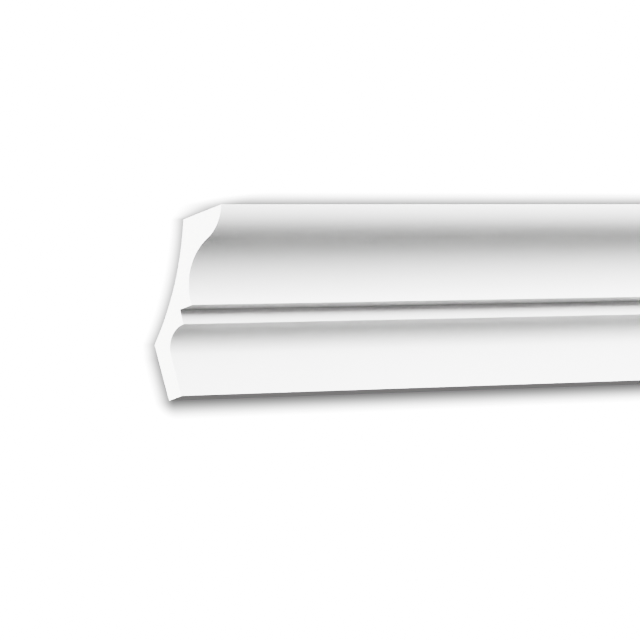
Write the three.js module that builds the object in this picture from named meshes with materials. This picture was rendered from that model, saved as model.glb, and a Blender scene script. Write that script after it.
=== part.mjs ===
// A length of cornice moulding for the corner of a wall and a ceiling, made in one piece of rigid white foam.
// Millimetres, +Z up. +X runs along the moulding, the wall is behind it at +Y, and its face looks along -Y.
// The origin is the middle of the wall face, the flat back that is glued to the wall.
import * as THREE from "three";

// The length, cut square at both ends
const LENGTH = 1000;

// Band: the plain upright strip at the foot of the moulding
const BAND_THICKNESS = 10.8;
const BAND_HEIGHT = 28.5;

// Foot cove: the quarter hollow above the band
const FOOT_COVE_RADIUS = 16;

// Fillet: the small upright strip above the foot cove
const FILLET_HEIGHT = 10;

// Lip: the flat underside that overhangs the fillet, and the short upright edge above it
const LIP_DEPTH = 10.3;
const LIP_EDGE_HEIGHT = 2.2;

// Ogee: a hollow arc that starts upright at the lip, then a rounded crown that carries on to the ceiling
const HOLLOW_REACH = 25.2;
const HOLLOW_HEIGHT = 35.6;
const CROWN_REACH = 17.7;
const CROWN_HEIGHT = 17.7;

// Back: the two flat faces that take the adhesive, and the shallow relief between them
const WALL_FACE_HEIGHT = 38.5;
const CEILING_FACE_DEPTH = 32.2;
const RELIEF_DEPTH = 4.8;

// Straight pieces that each arc is cut into
const ARC_PIECES = 32;

// Heights above the foot, and distances out from the wall, added up from the foot and from the wall
const filletFoot = BAND_HEIGHT + FOOT_COVE_RADIUS;
const lipUnderside = filletFoot + FILLET_HEIGHT;
const ogeeFoot = lipUnderside + LIP_EDGE_HEIGHT;
const crownFoot = ogeeFoot + HOLLOW_HEIGHT;
const ceiling = crownFoot + CROWN_HEIGHT;
const filletFace = BAND_THICKNESS + FOOT_COVE_RADIUS;
const lipFace = filletFace + LIP_DEPTH;
const crownFace = lipFace + HOLLOW_REACH;
const projection = crownFace + CROWN_REACH;

const whiteFoam = new THREE.MeshStandardMaterial({ color: 0xf2f2ef, roughness: 0.6, metalness: 0 });

// Adds an arc about a centre, from where the outline has got to as far as an end point.
function addArc(outline, centre, end, clockwise) {
  const fromCentre = outline.currentPoint.clone().sub(centre);
  const toEnd = end.clone().sub(centre);
  outline.absarc(centre.x, centre.y, fromCentre.length(), fromCentre.angle(), toEnd.angle(), clockwise);
}

// Adds an arc that leaves in the given direction and reaches the end point, and returns its direction there.
function addTangentArc(outline, direction, end) {
  const start = outline.currentPoint.clone();
  const chord = end.clone().sub(start);
  const left = new THREE.Vector2(-direction.y, direction.x);
  const radius = chord.lengthSq() / (2 * chord.dot(left));
  const centre = start.addScaledVector(left, radius);
  addArc(outline, centre, end, radius < 0);
  const alongChord = chord.normalize();
  return alongChord.multiplyScalar(2 * alongChord.dot(direction)).sub(direction);
}

// The face, from the foot up: band, foot cove, fillet, lip and ogee
function addFace(section) {
  section.lineTo(BAND_THICKNESS, 0);
  section.lineTo(BAND_THICKNESS, BAND_HEIGHT);
  addArc(section, new THREE.Vector2(filletFace, BAND_HEIGHT), new THREE.Vector2(filletFace, filletFoot), true);
  section.lineTo(filletFace, lipUnderside);
  section.lineTo(lipFace, lipUnderside);
  section.lineTo(lipFace, ogeeFoot);
  const upright = new THREE.Vector2(0, 1);
  const slope = addTangentArc(section, upright, new THREE.Vector2(crownFace, crownFoot));
  addTangentArc(section, slope, new THREE.Vector2(projection, ceiling));
}

// The back, from the ceiling down: the ceiling face, the relief and the wall face
function addBack(section) {
  const reliefTop = new THREE.Vector2(projection - CEILING_FACE_DEPTH, ceiling);
  const reliefFoot = new THREE.Vector2(0, WALL_FACE_HEIGHT);
  const chord = reliefTop.clone().sub(reliefFoot);
  const radius = (chord.lengthSq() / 4 + RELIEF_DEPTH ** 2) / (2 * RELIEF_DEPTH);
  const towardsCorner = new THREE.Vector2(-chord.y, chord.x).normalize();
  const middle = reliefFoot.clone().addScaledVector(chord, 0.5);
  const centre = middle.addScaledVector(towardsCorner, radius - RELIEF_DEPTH);
  section.lineTo(reliefTop.x, reliefTop.y);
  addArc(section, centre, reliefFoot, true);
}

// The section: x is the distance out from the wall, y the height above the foot.
function drawSection() {
  const section = new THREE.Shape();
  section.moveTo(0, 0);
  addFace(section);
  addBack(section);
  section.closePath();
  return section;
}

// The section is extruded, then turned to stand upright with its length along X, centred on the wall face.
function makeMoulding() {
  // An arc gets two pieces for each curve segment.
  const options = { depth: LENGTH, bevelEnabled: false, curveSegments: ARC_PIECES / 2 };
  const moulding = new THREE.Mesh(new THREE.ExtrudeGeometry(drawSection(), options), whiteFoam);
  const out = new THREE.Vector3(0, -1, 0);
  const up = new THREE.Vector3(0, 0, 1);
  const along = new THREE.Vector3().crossVectors(out, up);
  moulding.quaternion.setFromRotationMatrix(new THREE.Matrix4().makeBasis(out, up, along));
  moulding.position.set(LENGTH / 2, 0, -WALL_FACE_HEIGHT / 2);
  moulding.name = "cornice_moulding";
  return moulding;
}

const cornice = new THREE.Group();
cornice.add(makeMoulding());

export default cornice;
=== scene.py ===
import math

import bmesh
import bpy
from mathutils import Matrix, Vector


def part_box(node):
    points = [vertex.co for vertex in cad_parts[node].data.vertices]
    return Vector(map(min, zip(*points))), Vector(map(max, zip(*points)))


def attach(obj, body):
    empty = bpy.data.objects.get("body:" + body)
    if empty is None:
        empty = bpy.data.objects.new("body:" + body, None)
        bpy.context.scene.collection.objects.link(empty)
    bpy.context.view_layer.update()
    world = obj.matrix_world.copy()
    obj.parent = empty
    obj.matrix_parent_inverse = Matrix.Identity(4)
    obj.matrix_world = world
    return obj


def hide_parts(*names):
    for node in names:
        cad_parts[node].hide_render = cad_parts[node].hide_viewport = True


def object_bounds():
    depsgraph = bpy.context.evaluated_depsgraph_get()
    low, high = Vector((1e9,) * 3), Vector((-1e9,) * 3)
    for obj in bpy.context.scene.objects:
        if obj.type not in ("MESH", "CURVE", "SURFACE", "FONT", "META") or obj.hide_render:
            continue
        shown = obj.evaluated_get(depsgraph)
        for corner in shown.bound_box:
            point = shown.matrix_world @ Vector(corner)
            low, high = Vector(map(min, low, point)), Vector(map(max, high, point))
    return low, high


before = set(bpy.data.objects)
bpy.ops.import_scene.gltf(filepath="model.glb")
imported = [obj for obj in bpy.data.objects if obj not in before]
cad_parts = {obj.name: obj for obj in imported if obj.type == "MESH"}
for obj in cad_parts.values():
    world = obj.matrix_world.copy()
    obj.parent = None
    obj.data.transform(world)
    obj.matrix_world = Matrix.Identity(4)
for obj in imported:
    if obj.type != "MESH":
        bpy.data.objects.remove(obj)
cadLow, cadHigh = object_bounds()
mm = 0.001

# the photograph's viewpoint: where it looks, from which side, and how far the picture is tipped
photoView = {
    "aim": (-0.3634, -0.04, 0.0222),
    "azimuth": -55.93,
    "elevation": -9.37,
    "roll": -14.75,
    "distance": 5.2353,
    "lens": 438.84,
    "seesTo": 50,
}


def directionFrom(azimuth, elevation):
    # azimuth 0 is in front of the moulding, 90 is off its right end
    turn, rise = math.radians(azimuth), math.radians(elevation)
    return Vector((math.sin(turn) * math.cos(rise), -math.cos(turn) * math.cos(rise), math.sin(rise)))


def addCamera(view):
    camera = bpy.data.objects.new("camera", bpy.data.cameras.new("camera"))
    bpy.context.scene.collection.objects.link(camera)
    back = directionFrom(view["azimuth"], view["elevation"])
    level = (-back).to_track_quat("-Z", "Y").to_matrix().to_4x4()
    tipped = level @ Matrix.Rotation(math.radians(view["roll"]), 4, "Z")
    camera.matrix_world = Matrix.Translation(Vector(view["aim"]) + back * view["distance"]) @ tipped
    camera.data.lens = view["lens"]
    camera.data.clip_end = view["seesTo"]
    bpy.context.scene.camera = camera


addCamera(photoView)
print("camera placed")


# shader helpers

def addNode(tree, kind, x, y, **settings):
    node = tree.nodes.new(kind)
    node.location = (x, y)
    for name, value in settings.items():
        setattr(node, name, value)
    return node


def newMaterial(name):
    material = bpy.data.materials.new(name)
    material.use_nodes = True
    tree = material.node_tree
    shader = tree.nodes["Principled BSDF"]
    return material, tree, shader


def newGroup(name, inputs, outputs):
    # inputs and outputs map a socket's name to its type
    group = bpy.data.node_groups.new(name, "ShaderNodeTree")
    for label, kind in inputs.items():
        group.interface.new_socket(label, in_out="INPUT", socket_type=kind)
    for label, kind in outputs.items():
        group.interface.new_socket(label, in_out="OUTPUT", socket_type=kind)
    return group, addNode(group, "NodeGroupInput", -900, 0), addNode(group, "NodeGroupOutput", 600, 0)


def useGroup(tree, group, x, y, **values):
    node = addNode(tree, "ShaderNodeGroup", x, y, node_tree=group)
    for name, value in values.items():
        node.inputs[name].default_value = value
    return node


# fine grain of a sprayed or foamed white surface, with a slow drift in tone
def makeGrainGroup():
    group, given, result = newGroup(
        "fineGrain",
        {"Vector": "NodeSocketVector", "Fineness": "NodeSocketFloat", "Drift": "NodeSocketFloat"},
        {"Grain": "NodeSocketFloat", "Tone": "NodeSocketFloat"},
    )
    grain = addNode(group, "ShaderNodeTexNoise", -500, 150)
    grain.inputs["Detail"].default_value = 3
    grain.inputs["Roughness"].default_value = 0.55
    tone = addNode(group, "ShaderNodeTexNoise", -500, -150)
    tone.inputs["Detail"].default_value = 2
    group.links.new(given.outputs["Vector"], grain.inputs["Vector"])
    group.links.new(given.outputs["Vector"], tone.inputs["Vector"])
    group.links.new(given.outputs["Fineness"], grain.inputs["Scale"])
    group.links.new(given.outputs["Drift"], tone.inputs["Scale"])
    group.links.new(grain.outputs["Fac"], result.inputs["Grain"])
    group.links.new(tone.outputs["Fac"], result.inputs["Tone"])
    return group


# open pores, as in cut foam or where air bubbles met the mould
def makePoreGroup():
    group, given, result = newGroup(
        "pores",
        {"Vector": "NodeSocketVector", "Spacing": "NodeSocketFloat", "Width": "NodeSocketFloat"},
        {"Pore": "NodeSocketFloat"},
    )
    cells = addNode(group, "ShaderNodeTexVoronoi", -500, 0)
    edge = addNode(group, "ShaderNodeMapRange", -150, 0, interpolation_type="SMOOTHSTEP")
    edge.inputs["To Min"].default_value = 1
    edge.inputs["To Max"].default_value = 0
    group.links.new(given.outputs["Vector"], cells.inputs["Vector"])
    group.links.new(given.outputs["Spacing"], cells.inputs["Scale"])
    group.links.new(cells.outputs["Distance"], edge.inputs["Value"])
    group.links.new(given.outputs["Width"], edge.inputs["From Max"])
    group.links.new(edge.outputs["Result"], result.inputs["Pore"])
    return group


fineGrain = makeGrainGroup()
pores = makePoreGroup()

# finishes: the primed face, the sawn ends and the plain moulded back
# rough is its lowest and highest value, and bump its strength and its depth in millimetres
finishes = {
    "primedFace": {
        "light": (0.806, 0.806, 0.804, 1),
        "dark": (0.79, 0.79, 0.788, 1),
        "rough": (0.48, 0.58),
        "bump": (0.25, 0.04),
        "specular": 0.35,
    },
    "sawnEnd": {
        "light": (0.815, 0.814, 0.806, 1),
        "dark": (0.75, 0.748, 0.738, 1),
        "rough": (0.7, 0.85),
        "bump": (0.4, 0.12),
        "specular": 0.2,
    },
    "mouldedBack": {
        "light": (0.785, 0.782, 0.77, 1),
        "dark": (0.74, 0.736, 0.722, 1),
        "rough": (0.55, 0.7),
        "bump": (0.5, 0.15),
        "specular": 0.3,
    },
}


def mixTones(tree, finish, x, y):
    mix = addNode(tree, "ShaderNodeMix", x, y, data_type="RGBA")
    mix.inputs["A"].default_value = finish["dark"]
    mix.inputs["B"].default_value = finish["light"]
    return mix


def addRoughness(tree, shader, finish, source, x, y):
    spread = addNode(tree, "ShaderNodeMapRange", x, y)
    spread.inputs["To Min"].default_value, spread.inputs["To Max"].default_value = finish["rough"]
    tree.links.new(source, spread.inputs["Value"])
    tree.links.new(spread.outputs["Result"], shader.inputs["Roughness"])


def addBump(tree, shader, finish, height, x, y):
    strength, depth = finish["bump"]
    bump = addNode(tree, "ShaderNodeBump", x, y)
    bump.inputs["Strength"].default_value = strength
    bump.inputs["Distance"].default_value = depth * mm
    tree.links.new(height, bump.inputs["Height"])
    tree.links.new(bump.outputs["Normal"], shader.inputs["Normal"])


def makePrimedFace():
    finish = finishes["primedFace"]
    material, tree, shader = newMaterial("primedFace")
    place = addNode(tree, "ShaderNodeTexCoord", -1300, 0)
    along = addNode(tree, "ShaderNodeMapping", -1100, -300)
    along.inputs["Scale"].default_value = (0.02, 1, 1)  # draws the grain out into lines along the length
    spray = useGroup(tree, fineGrain, -850, 150, Fineness=1600, Drift=9)
    lines = useGroup(tree, fineGrain, -850, -300, Fineness=900, Drift=60)
    relief = addNode(tree, "ShaderNodeMix", -500, -150, data_type="FLOAT")
    relief.inputs["Factor"].default_value = 0.35
    tones = mixTones(tree, finish, -400, 250)
    tree.links.new(place.outputs["Object"], spray.inputs["Vector"])
    tree.links.new(place.outputs["Object"], along.inputs["Vector"])
    tree.links.new(along.outputs["Vector"], lines.inputs["Vector"])
    tree.links.new(spray.outputs["Grain"], relief.inputs["A"])
    tree.links.new(lines.outputs["Grain"], relief.inputs["B"])
    tree.links.new(spray.outputs["Tone"], tones.inputs["Factor"])
    tree.links.new(tones.outputs["Result"], shader.inputs["Base Color"])
    addRoughness(tree, shader, finish, lines.outputs["Tone"], -400, 0)
    addBump(tree, shader, finish, relief.outputs["Result"], -250, -250)
    shader.inputs["Specular IOR Level"].default_value = finish["specular"]
    return material


def makeSawnEnd():
    finish = finishes["sawnEnd"]
    material, tree, shader = newMaterial("sawnEnd")
    place = addNode(tree, "ShaderNodeTexCoord", -1300, 0)
    cells = useGroup(tree, pores, -850, 300, Spacing=1500, Width=0.45)
    holes = useGroup(tree, pores, -850, 50, Spacing=330, Width=0.2)
    grain = useGroup(tree, fineGrain, -850, -200, Fineness=2400, Drift=40)
    saw = addNode(tree, "ShaderNodeTexWave", -850, -450, bands_direction="Y")
    saw.inputs["Scale"].default_value = 260
    saw.inputs["Distortion"].default_value = 1.5
    saw.inputs["Detail"].default_value = 2
    opened = addNode(tree, "ShaderNodeMath", -550, 200, operation="MAXIMUM")
    flat = addNode(tree, "ShaderNodeMath", -400, 200, operation="SUBTRACT")
    flat.inputs[0].default_value = 1
    ridge = addNode(tree, "ShaderNodeMix", -400, -300, data_type="FLOAT")
    ridge.inputs["Factor"].default_value = 0.2
    tones = mixTones(tree, finish, -200, 250)
    for node in (cells, holes, grain, saw):
        tree.links.new(place.outputs["Object"], node.inputs["Vector"])
    tree.links.new(cells.outputs["Pore"], opened.inputs[0])
    tree.links.new(holes.outputs["Pore"], opened.inputs[1])
    tree.links.new(opened.outputs["Value"], flat.inputs[1])
    tree.links.new(flat.outputs["Value"], ridge.inputs["A"])
    tree.links.new(saw.outputs["Fac"], ridge.inputs["B"])
    tree.links.new(flat.outputs["Value"], tones.inputs["Factor"])
    tree.links.new(tones.outputs["Result"], shader.inputs["Base Color"])
    addRoughness(tree, shader, finish, grain.outputs["Grain"], -200, 0)
    addBump(tree, shader, finish, ridge.outputs["Result"], -150, -250)
    shader.inputs["Specular IOR Level"].default_value = finish["specular"]
    return material


def makeMouldedBack():
    finish = finishes["mouldedBack"]
    material, tree, shader = newMaterial("mouldedBack")
    place = addNode(tree, "ShaderNodeTexCoord", -1300, 0)
    grain = useGroup(tree, fineGrain, -850, 150, Fineness=700, Drift=14)
    bubbles = useGroup(tree, pores, -850, -150, Spacing=120, Width=0.12)
    dent = addNode(tree, "ShaderNodeMath", -500, -150, operation="SUBTRACT")
    tones = mixTones(tree, finish, -300, 250)
    tree.links.new(place.outputs["Object"], grain.inputs["Vector"])
    tree.links.new(place.outputs["Object"], bubbles.inputs["Vector"])
    tree.links.new(grain.outputs["Grain"], dent.inputs[0])
    tree.links.new(bubbles.outputs["Pore"], dent.inputs[1])
    tree.links.new(grain.outputs["Tone"], tones.inputs["Factor"])
    tree.links.new(tones.outputs["Result"], shader.inputs["Base Color"])
    addRoughness(tree, shader, finish, grain.outputs["Tone"], -300, 0)
    addBump(tree, shader, finish, dent.outputs["Value"], -200, -250)
    shader.inputs["Specular IOR Level"].default_value = finish["specular"]
    return material


primedFace = makePrimedFace()
sawnEnd = makeSawnEnd()
mouldedBack = makeMouldedBack()
print("finishes made")


# the moulding's section in millimetres, heights from the foot up and reaches from the wall out
moulding = {
    "bandThickness": 10.8,
    "bandHeight": 28.5,
    "footCove": 16,
    "filletHeight": 10,
    "lipDepth": 10.3,
    "lipEdge": 2.2,
    "hollowReach": 25.2,
    "hollowHeight": 35.6,
    "crownReach": 17.7,
    "crownHeight": 17.7,
    "wallFace": 38.5,
    "ceilingFace": 32.2,
    "relief": 4.8,
    "arcSteps": 48,
    "sharpFrom": 20,  # degrees of turn that count as an edge
    "softEdge": (0.26, 4),  # rounding of the moulded edges, and its segments
    "rubbedEdge": (0.18, 3),  # the same round the sawn ends
    "weld": 0.01,  # points closer than this are one
    "slices": 40,  # rings of mesh along the length
}


def drawTo(bm, last, target):
    # one straight stretch of the section
    grown = bmesh.ops.extrude_vert_indiv(bm, verts=[last])["verts"][0]
    bmesh.ops.translate(bm, verts=[grown], vec=target - grown.co)
    return grown


def turnTo(bm, last, heading, target, steps):
    # an arc that leaves the last point along its heading and ends at the target
    axis = Vector((1, 0, 0))
    chord = target - last.co
    turn = math.atan2(heading.cross(chord).dot(axis), heading.dot(chord))
    centre = last.co + axis.cross(heading) * (chord.length / (2 * math.sin(turn)))
    spun = bmesh.ops.spin(bm, geom=[last], cent=centre, axis=axis, angle=2 * turn, steps=steps)
    end = next(part for part in spun["geom_last"] if isinstance(part, bmesh.types.BMVert))
    return end, Matrix.Rotation(2 * turn, 3, axis) @ heading


def drawRelief(bm, last, size, target, downwards):
    # the shallow hollow of the back, which bows into the moulding
    chord = target - last.co
    bow = 2 * math.atan(2 * size["relief"] * mm / chord.length)
    heading = Matrix.Rotation(-bow if downwards else bow, 3, "X") @ chord.normalized()
    last, _ = turnTo(bm, last, heading, target, size["arcSteps"])
    return last


def drawSection(bm, size, corner):
    # corner is where the foot meets the wall, at the left end
    def at(out, up):
        return corner + Vector((0, -out * mm, up * mm))

    steps = size["arcSteps"]
    upwards = Vector((0, 0, 1))
    filletFace = size["bandThickness"] + size["footCove"]
    filletFoot = size["bandHeight"] + size["footCove"]
    lipFace = filletFace + size["lipDepth"]
    lipUnder = filletFoot + size["filletHeight"]
    hollowFoot = lipUnder + size["lipEdge"]
    crownFace = lipFace + size["hollowReach"]
    crownFoot = hollowFoot + size["hollowHeight"]
    front = crownFace + size["crownReach"]
    top = crownFoot + size["crownHeight"]

    last = bmesh.ops.create_vert(bm, co=at(0, 0))["vert"][0]
    last = drawTo(bm, last, at(size["bandThickness"], 0))
    last = drawTo(bm, last, at(size["bandThickness"], size["bandHeight"]))
    last, _ = turnTo(bm, last, upwards, at(filletFace, filletFoot), steps)
    last = drawTo(bm, last, at(filletFace, lipUnder))
    last = drawTo(bm, last, at(lipFace, lipUnder))
    last = drawTo(bm, last, at(lipFace, hollowFoot))
    last, slope = turnTo(bm, last, upwards, at(crownFace, crownFoot), steps)
    last, _ = turnTo(bm, last, slope, at(front, top), steps)
    last = drawTo(bm, last, at(front - size["ceilingFace"], top))
    last = drawRelief(bm, last, size, at(0, size["wallFace"]), True)
    drawTo(bm, last, at(0, 0))
    bmesh.ops.remove_doubles(bm, verts=bm.verts[:], dist=size["weld"] * mm)


def spansLength(edge, length):
    return abs(edge.verts[0].co.x - edge.verts[1].co.x) > length * 0.5


def roundOff(bm, edges, rounding):
    offset, segments = rounding
    bmesh.ops.bevel(
        bm, geom=edges, affect="EDGES", offset=offset * mm, segments=segments, profile=0.5, material=-1)


def makeMoulding(size):
    low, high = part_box("cornice_moulding")
    length = high.x - low.x
    bm = bmesh.new()
    drawSection(bm, size, Vector((low.x, high.y, low.z)))
    bmesh.ops.contextual_create(bm, geom=bm.edges[:])
    drawn = bmesh.ops.extrude_face_region(bm, geom=bm.faces[:])
    moved = [part for part in drawn["geom"] if isinstance(part, bmesh.types.BMVert)]
    bmesh.ops.translate(bm, verts=moved, vec=(length, 0, 0))
    bmesh.ops.recalc_face_normals(bm, faces=bm.faces[:])

    # moulded edges, along the length
    sharp = math.radians(size["sharpFrom"])
    crisp = [edge for edge in bm.edges if spansLength(edge, length) and edge.calc_face_angle() > sharp]
    roundOff(bm, crisp, size["softEdge"])
    # rims of the two sawn ends
    rim = [edge for edge in bm.edges if not spansLength(edge, length)]
    roundOff(bm, rim, size["rubbedEdge"])
    runs = [edge for edge in bm.edges if spansLength(edge, length)]
    bmesh.ops.subdivide_edges(bm, edges=runs, cuts=size["slices"] - 1, use_grid_fill=True)

    # how far a face turns that way to count as an end, the back or the top
    endwards, backwards, upwards = 0.7, 0.3, 0.8
    for face in bm.faces:
        face.smooth = True
        if abs(face.normal.x) > endwards:
            face.material_index = 1
        elif face.normal.y > backwards or face.normal.z > upwards:
            face.material_index = 2
    mesh = bpy.data.meshes.new("moulding")
    bm.to_mesh(mesh)
    bm.free()
    for material in (primedFace, sawnEnd, mouldedBack):
        mesh.materials.append(material)
    piece = bpy.data.objects.new("moulding", mesh)
    bpy.context.scene.collection.objects.link(piece)
    flats = piece.modifiers.new("flats", "WEIGHTED_NORMAL")  # flat faces stay flat up to their rounded edges
    flats.keep_sharp = True
    return piece


piece = makeMoulding(moulding)
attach(piece, "root")
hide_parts("cornice_moulding")
print("moulding made:", len(piece.data.polygons), "faces")


# soft studio light: every lamp is a square panel aimed at the middle of what the photograph shows
lamps = {
    "key": {"azimuth": 35, "elevation": 35, "power": 448, "panel": 2.4},
    "low": {"azimuth": 35, "elevation": 24, "power": 42, "panel": 2.4},  # reaches in under the lip
    "leftEnd": {"azimuth": -100, "elevation": 7, "power": 289, "panel": 1.2},
    "rightEnd": {"azimuth": 110, "elevation": 12, "power": 110, "panel": 1.2},
    "back": {"azimuth": 150, "elevation": 40, "power": 200, "panel": 2.4},
}
studio = {
    "aim": (-0.25, -0.04, 0.036),
    "distance": 3.0,
    "ambient": 0.189,
    "viewTransform": "Filmic",
    "look": "Very High Contrast",
    # light up to the shoulder is shown as it is, and from there it climbs to pure white
    "shoulder": 3.0,
    "white": 5.0,
    "whiteShown": 17.0,
    "pale": 0.8,  # the plain pale floor and surroundings
}


def addLamp(name, lamp):
    data = bpy.data.lights.new(name, "AREA")
    data.shape = "SQUARE"
    data.size = lamp["panel"]
    data.energy = lamp["power"]
    light = bpy.data.objects.new(name, data)
    bpy.context.scene.collection.objects.link(light)
    away = directionFrom(lamp["azimuth"], lamp["elevation"])
    light.location = Vector(studio["aim"]) + away * studio["distance"]
    light.rotation_euler = away.to_track_quat("Z", "Y").to_euler()
    light.visible_camera = False


def lightWorld(ambient, pale):
    # the camera sees a plain pale grey, and the moulding gets a weak even light
    world = bpy.data.worlds.new("studio")
    bpy.context.scene.world = world
    world.use_nodes = True
    tree = world.node_tree
    shown = addNode(tree, "ShaderNodeBackground", -300, 100)
    shown.inputs["Strength"].default_value = pale
    shown.inputs["Color"].default_value = (1, 1, 1, 1)
    even = tree.nodes["Background"]
    even.inputs["Color"].default_value = (1, 1, 1, 1)
    even.inputs["Strength"].default_value = ambient
    path = addNode(tree, "ShaderNodeLightPath", -500, 300)
    choose = addNode(tree, "ShaderNodeMixShader", 0, 100)
    tree.links.new(path.outputs["Is Camera Ray"], choose.inputs[0])
    tree.links.new(even.outputs[0], choose.inputs[1])
    tree.links.new(shown.outputs[0], choose.inputs[2])
    tree.links.new(choose.outputs[0], tree.nodes["World Output"].inputs["Surface"])


for name, lamp in lamps.items():
    addLamp(name, lamp)
lightWorld(studio["ambient"], studio["pale"])
print("lamps placed:", len(lamps))


def setTone(studio):
    view = bpy.context.scene.view_settings
    view.view_transform = studio["viewTransform"]
    view.look = studio["look"]
    view.use_curve_mapping = True
    view.curve_mapping.use_clip = False
    for tone in view.curve_mapping.curves[:3]:  # red, green and blue alike
        tone.points[1].location = (studio["shoulder"], studio["shoulder"])
        tone.points.new(studio["white"], studio["whiteShown"])
        for point in tone.points:
            point.handle_type = "VECTOR"
    view.curve_mapping.update()


setTone(studio)


# the setting: a pale floor, a white card far behind the moulding as the camera sees it, and a clear sheet
# along the moulding's back and level with its top, which carries a painted soft shadow and is clear elsewhere
setting = {
    "cardDistance": 20.0,
    "cardHalf": 1.15,  # half the card's width
    "gap": 0.3,  # millimetres between the sheet and the moulding
    "sheetMargin": 0.1,  # how far the sheet reaches past the moulding
    # painted soft shadow round the moulding: its depth where they touch, and the millimetres a full depth
    # fades over
    "besideBand": 0.725,
    "besideRelief": 0.6,
    "endFade": 22.6,
    "crownEndFade": 72,
    "underFoot": (0.972, 13.4),
    "beyondCrown": (0.68, 38),
    "shadowStops": 6.5,  # how many times a full depth halves the light of the white card
    "shadowCurve": 0.56,  # below 1 the faint part is darker, above 1 lighter
    "paleStops": 2.2,  # the same two for the pale surroundings
    "paleCurve": 1.3,
    "floorDrop": 2.3,
    "floorReach": 30.0,
}


def addMath(tree, operation, x, y, *values):
    # values are numbers or the outputs of other nodes
    node = addNode(tree, "ShaderNodeMath", x, y, operation=operation)
    for socket, value in zip(node.inputs, values):
        if isinstance(value, bpy.types.NodeSocket):
            tree.links.new(value, socket)
        else:
            socket.default_value = value
    return node.outputs["Value"]


def makeBlankMaterial(name):
    material, tree, shader = newMaterial(name)
    tree.nodes.remove(shader)
    return material, tree


def seenFromFront(tree, surface, clearness=None):
    # clear from behind, so nothing of the setting hides the moulding
    side = addNode(tree, "ShaderNodeNewGeometry", 700, 300)
    hidden = side.outputs["Backfacing"]
    if clearness:
        hidden = addMath(tree, "MAXIMUM", 900, 200, hidden, clearness)
    clear = addNode(tree, "ShaderNodeBsdfTransparent", 900, -200)
    choose = addNode(tree, "ShaderNodeMixShader", 1100, 0)
    tree.links.new(hidden, choose.inputs[0])
    tree.links.new(surface, choose.inputs[1])
    tree.links.new(clear.outputs[0], choose.inputs[2])
    tree.links.new(choose.outputs[0], tree.nodes["Material Output"].inputs["Surface"])


def measureShadow(tree, setting, size):
    # how deep the painted soft shadow is at a spot, from 0 to 1, by the distance to the moulding
    place = addNode(tree, "ShaderNodeTexCoord", -1700, 0)
    spot = addNode(tree, "ShaderNodeSeparateXYZ", -1500, 0)
    tree.links.new(place.outputs["Object"], spot.inputs["Vector"])
    x, y, z = spot.outputs

    # past the two ends it is deeper behind the band, and widens towards the crown
    deepen = addNode(tree, "ShaderNodeMapRange", -1300, 600)
    deepen.inputs["From Min"].default_value = cadLow.z + size["bandHeight"] * mm
    deepen.inputs["From Max"].default_value = cadLow.z + size["wallFace"] * mm
    deepen.inputs["To Min"].default_value = setting["besideBand"]
    deepen.inputs["To Max"].default_value = setting["besideRelief"]
    tree.links.new(z, deepen.inputs["Value"])
    widen = addNode(tree, "ShaderNodeMapRange", -1300, 300)
    widen.inputs["From Min"].default_value = cadLow.y + size["ceilingFace"] * mm
    widen.inputs["From Max"].default_value = cadLow.y
    widen.inputs["To Min"].default_value = setting["endFade"] * mm
    widen.inputs["To Max"].default_value = setting["crownEndFade"] * mm
    tree.links.new(y, widen.inputs["Value"])
    beyondEnd = addMath(tree, "SUBTRACT", -1100, 100, addMath(tree, "ABSOLUTE", -1300, 100, x), cadHigh.x)
    faded = addMath(tree, "DIVIDE", -900, 100, beyondEnd, widen.outputs["Result"])
    besideEnds = addMath(tree, "SUBTRACT", -700, 100, deepen.outputs["Result"], faded)

    # below the foot, and out past the crown
    footDepth, footFade = setting["underFoot"]
    perMetre = 1 / (footFade * mm)
    underFoot = addMath(tree, "MULTIPLY_ADD", -1100, -150, z, perMetre, footDepth - cadLow.z * perMetre)
    crownDepth, crownFade = setting["beyondCrown"]
    perMetre = 1 / (crownFade * mm)
    beyondCrown = addMath(tree, "MULTIPLY_ADD", -1100, -350, y, perMetre, crownDepth - cadLow.y * perMetre)

    across = addMath(tree, "MINIMUM", -800, -200, underFoot, beyondCrown)
    # round the corners, where both fade together
    lacks = addNode(tree, "ShaderNodeCombineXYZ", -500, 0)
    for socket, part, row in ((lacks.inputs["X"], besideEnds, 100), (lacks.inputs["Y"], across, -100)):
        short = addMath(tree, "SUBTRACT", -650, row, footDepth, part)
        tree.links.new(addMath(tree, "MAXIMUM", -575, row, short, 0), socket)
    lacking = addNode(tree, "ShaderNodeVectorMath", -425, 0, operation="LENGTH")
    tree.links.new(lacks.outputs["Vector"], lacking.inputs[0])
    depth = addMath(tree, "SUBTRACT", -350, 0, footDepth, lacking.outputs["Value"])
    held = addNode(tree, "ShaderNodeClamp", -250, 0)
    tree.links.new(depth, held.inputs["Value"])
    return held.outputs["Result"]


def dimLight(tree, depth, light, stops, curve, y):
    eased = addMath(tree, "POWER", -100, y, depth, curve)
    halved = addMath(tree, "POWER", 200, y, 2, addMath(tree, "MULTIPLY", 50, y, eased, -stops))
    return addMath(tree, "MULTIPLY", 350, y, halved, light)


def shadeWhite(tree, depth, setting):
    # the white card's light dimmed by the painted shadow, with the top of its range drawn in for the tone
    # curve
    shown = dimLight(tree, depth, studio["whiteShown"], setting["shadowStops"], setting["shadowCurve"], 0)
    squeeze = (studio["white"] - studio["shoulder"]) / (studio["whiteShown"] - studio["shoulder"])
    drawnIn = addMath(tree, "MULTIPLY_ADD", 500, 100, shown, squeeze, studio["shoulder"] * (1 - squeeze))
    return addMath(tree, "MINIMUM", 650, 0, shown, drawnIn)


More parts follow.
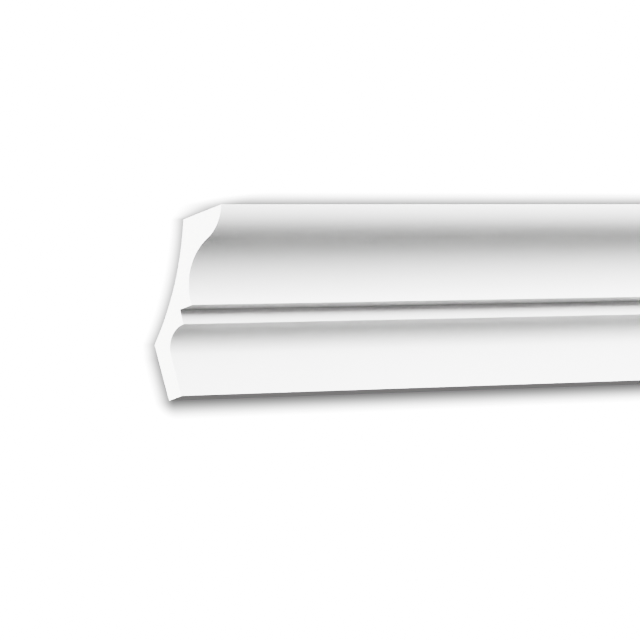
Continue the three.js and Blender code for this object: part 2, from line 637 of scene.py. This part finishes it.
def makePaintedShadowSheet(setting, size):
    # its glow paints the shadow: over white it shows the card's white dimmed by that shadow, and over the
    # pale surroundings a gentler painted shadow
    material, tree = makeBlankMaterial("paintedShadowSheet")
    depth = measureShadow(tree, setting, size)
    overWhite = shadeWhite(tree, depth, setting)
    gentle = dimLight(tree, depth, studio["pale"], setting["paleStops"], setting["paleCurve"], -400)
    own = addMath(tree, "MINIMUM", 650, -400, gentle, overWhite)
    lacking = addMath(tree, "SUBTRACT", 650, 500, overWhite, own)
    room = addMath(tree, "SUBTRACT", 650, 350, studio["white"], own)
    clearness = addMath(tree, "DIVIDE", 800, 400, lacking, room)
    # this glow is the painted shadow itself, standing in for shade, and the sheet turns clear where it fades
    glow = addNode(tree, "ShaderNodeEmission", 850, 0)
    tree.links.new(own, glow.inputs["Strength"])
    seenFromFront(tree, glow.outputs[0], clearness)
    return material


def makePlainPaint(name, light):
    material, tree = makeBlankMaterial(name)
    glow = addNode(tree, "ShaderNodeEmission", 850, 0)
    glow.inputs["Strength"].default_value = light
    seenFromFront(tree, glow.outputs[0])
    return material


def addStage(name, bm, material):
    mesh = bpy.data.meshes.new(name)
    bm.to_mesh(mesh)
    bm.free()
    mesh.materials.append(material)
    sheet = bpy.data.objects.new(name, mesh)
    bpy.context.scene.collection.objects.link(sheet)
    # only the camera sees it, so it neither lights nor shades the moulding
    sheet.visible_diffuse = sheet.visible_glossy = sheet.visible_transmission = False
    sheet.visible_shadow = sheet.visible_volume_scatter = False


def addPaintedShadowSheet(setting, size):
    # a sheet with a painted soft shadow, from under the foot, up behind the wall face, along the relief, then
    # out over the ceiling face
    gap, margin = setting["gap"] * mm, setting["sheetMargin"]
    left, right = cadLow.x - margin, cadHigh.x + margin
    behind, above = cadHigh.y + gap, cadHigh.z + gap
    bm = bmesh.new()
    last = bmesh.ops.create_vert(bm, co=(left, behind, cadLow.z - margin))["vert"][0]
    last = drawTo(bm, last, Vector((left, behind, cadLow.z + size["wallFace"] * mm + gap)))
    last = drawRelief(bm, last, size, Vector((left, cadLow.y + size["ceilingFace"] * mm + gap, above)), False)
    drawTo(bm, last, Vector((left, cadLow.y - margin, above)))
    spread = bmesh.ops.extrude_edge_only(bm, edges=bm.edges[:])
    moved = [part for part in spread["geom"] if isinstance(part, bmesh.types.BMVert)]
    bmesh.ops.translate(bm, verts=moved, vec=(right - left, 0, 0))
    bm.normal_update()
    if bm.faces[:][0].normal.y > 0:
        bmesh.ops.reverse_faces(bm, faces=bm.faces[:])
    addStage("paintedShadowSheet", bm, makePaintedShadowSheet(setting, size))


def addWhiteCard(view, setting):
    back = directionFrom(view["azimuth"], view["elevation"])
    place = Matrix.Translation(Vector(view["aim"]) - back * setting["cardDistance"])
    place = place @ back.to_track_quat("Z", "Y").to_matrix().to_4x4()
    place = place @ Matrix.Rotation(math.radians(view["roll"]), 4, "Z")
    bm = bmesh.new()
    bmesh.ops.create_grid(bm, x_segments=1, y_segments=1, size=setting["cardHalf"], matrix=place)
    addStage("whiteCard", bm, makePlainPaint("whitePaper", studio["white"]))


def addFloor(setting):
    bm = bmesh.new()
    place = Matrix.Translation((0, 0, cadLow.z - setting["floorDrop"]))
    bmesh.ops.create_grid(bm, x_segments=1, y_segments=1, size=setting["floorReach"], matrix=place)
    addStage("floor", bm, makePlainPaint("floorPaint", studio["pale"]))


addPaintedShadowSheet(setting, moulding)
addWhiteCard(photoView, setting)
addFloor(setting)
print("setting placed")
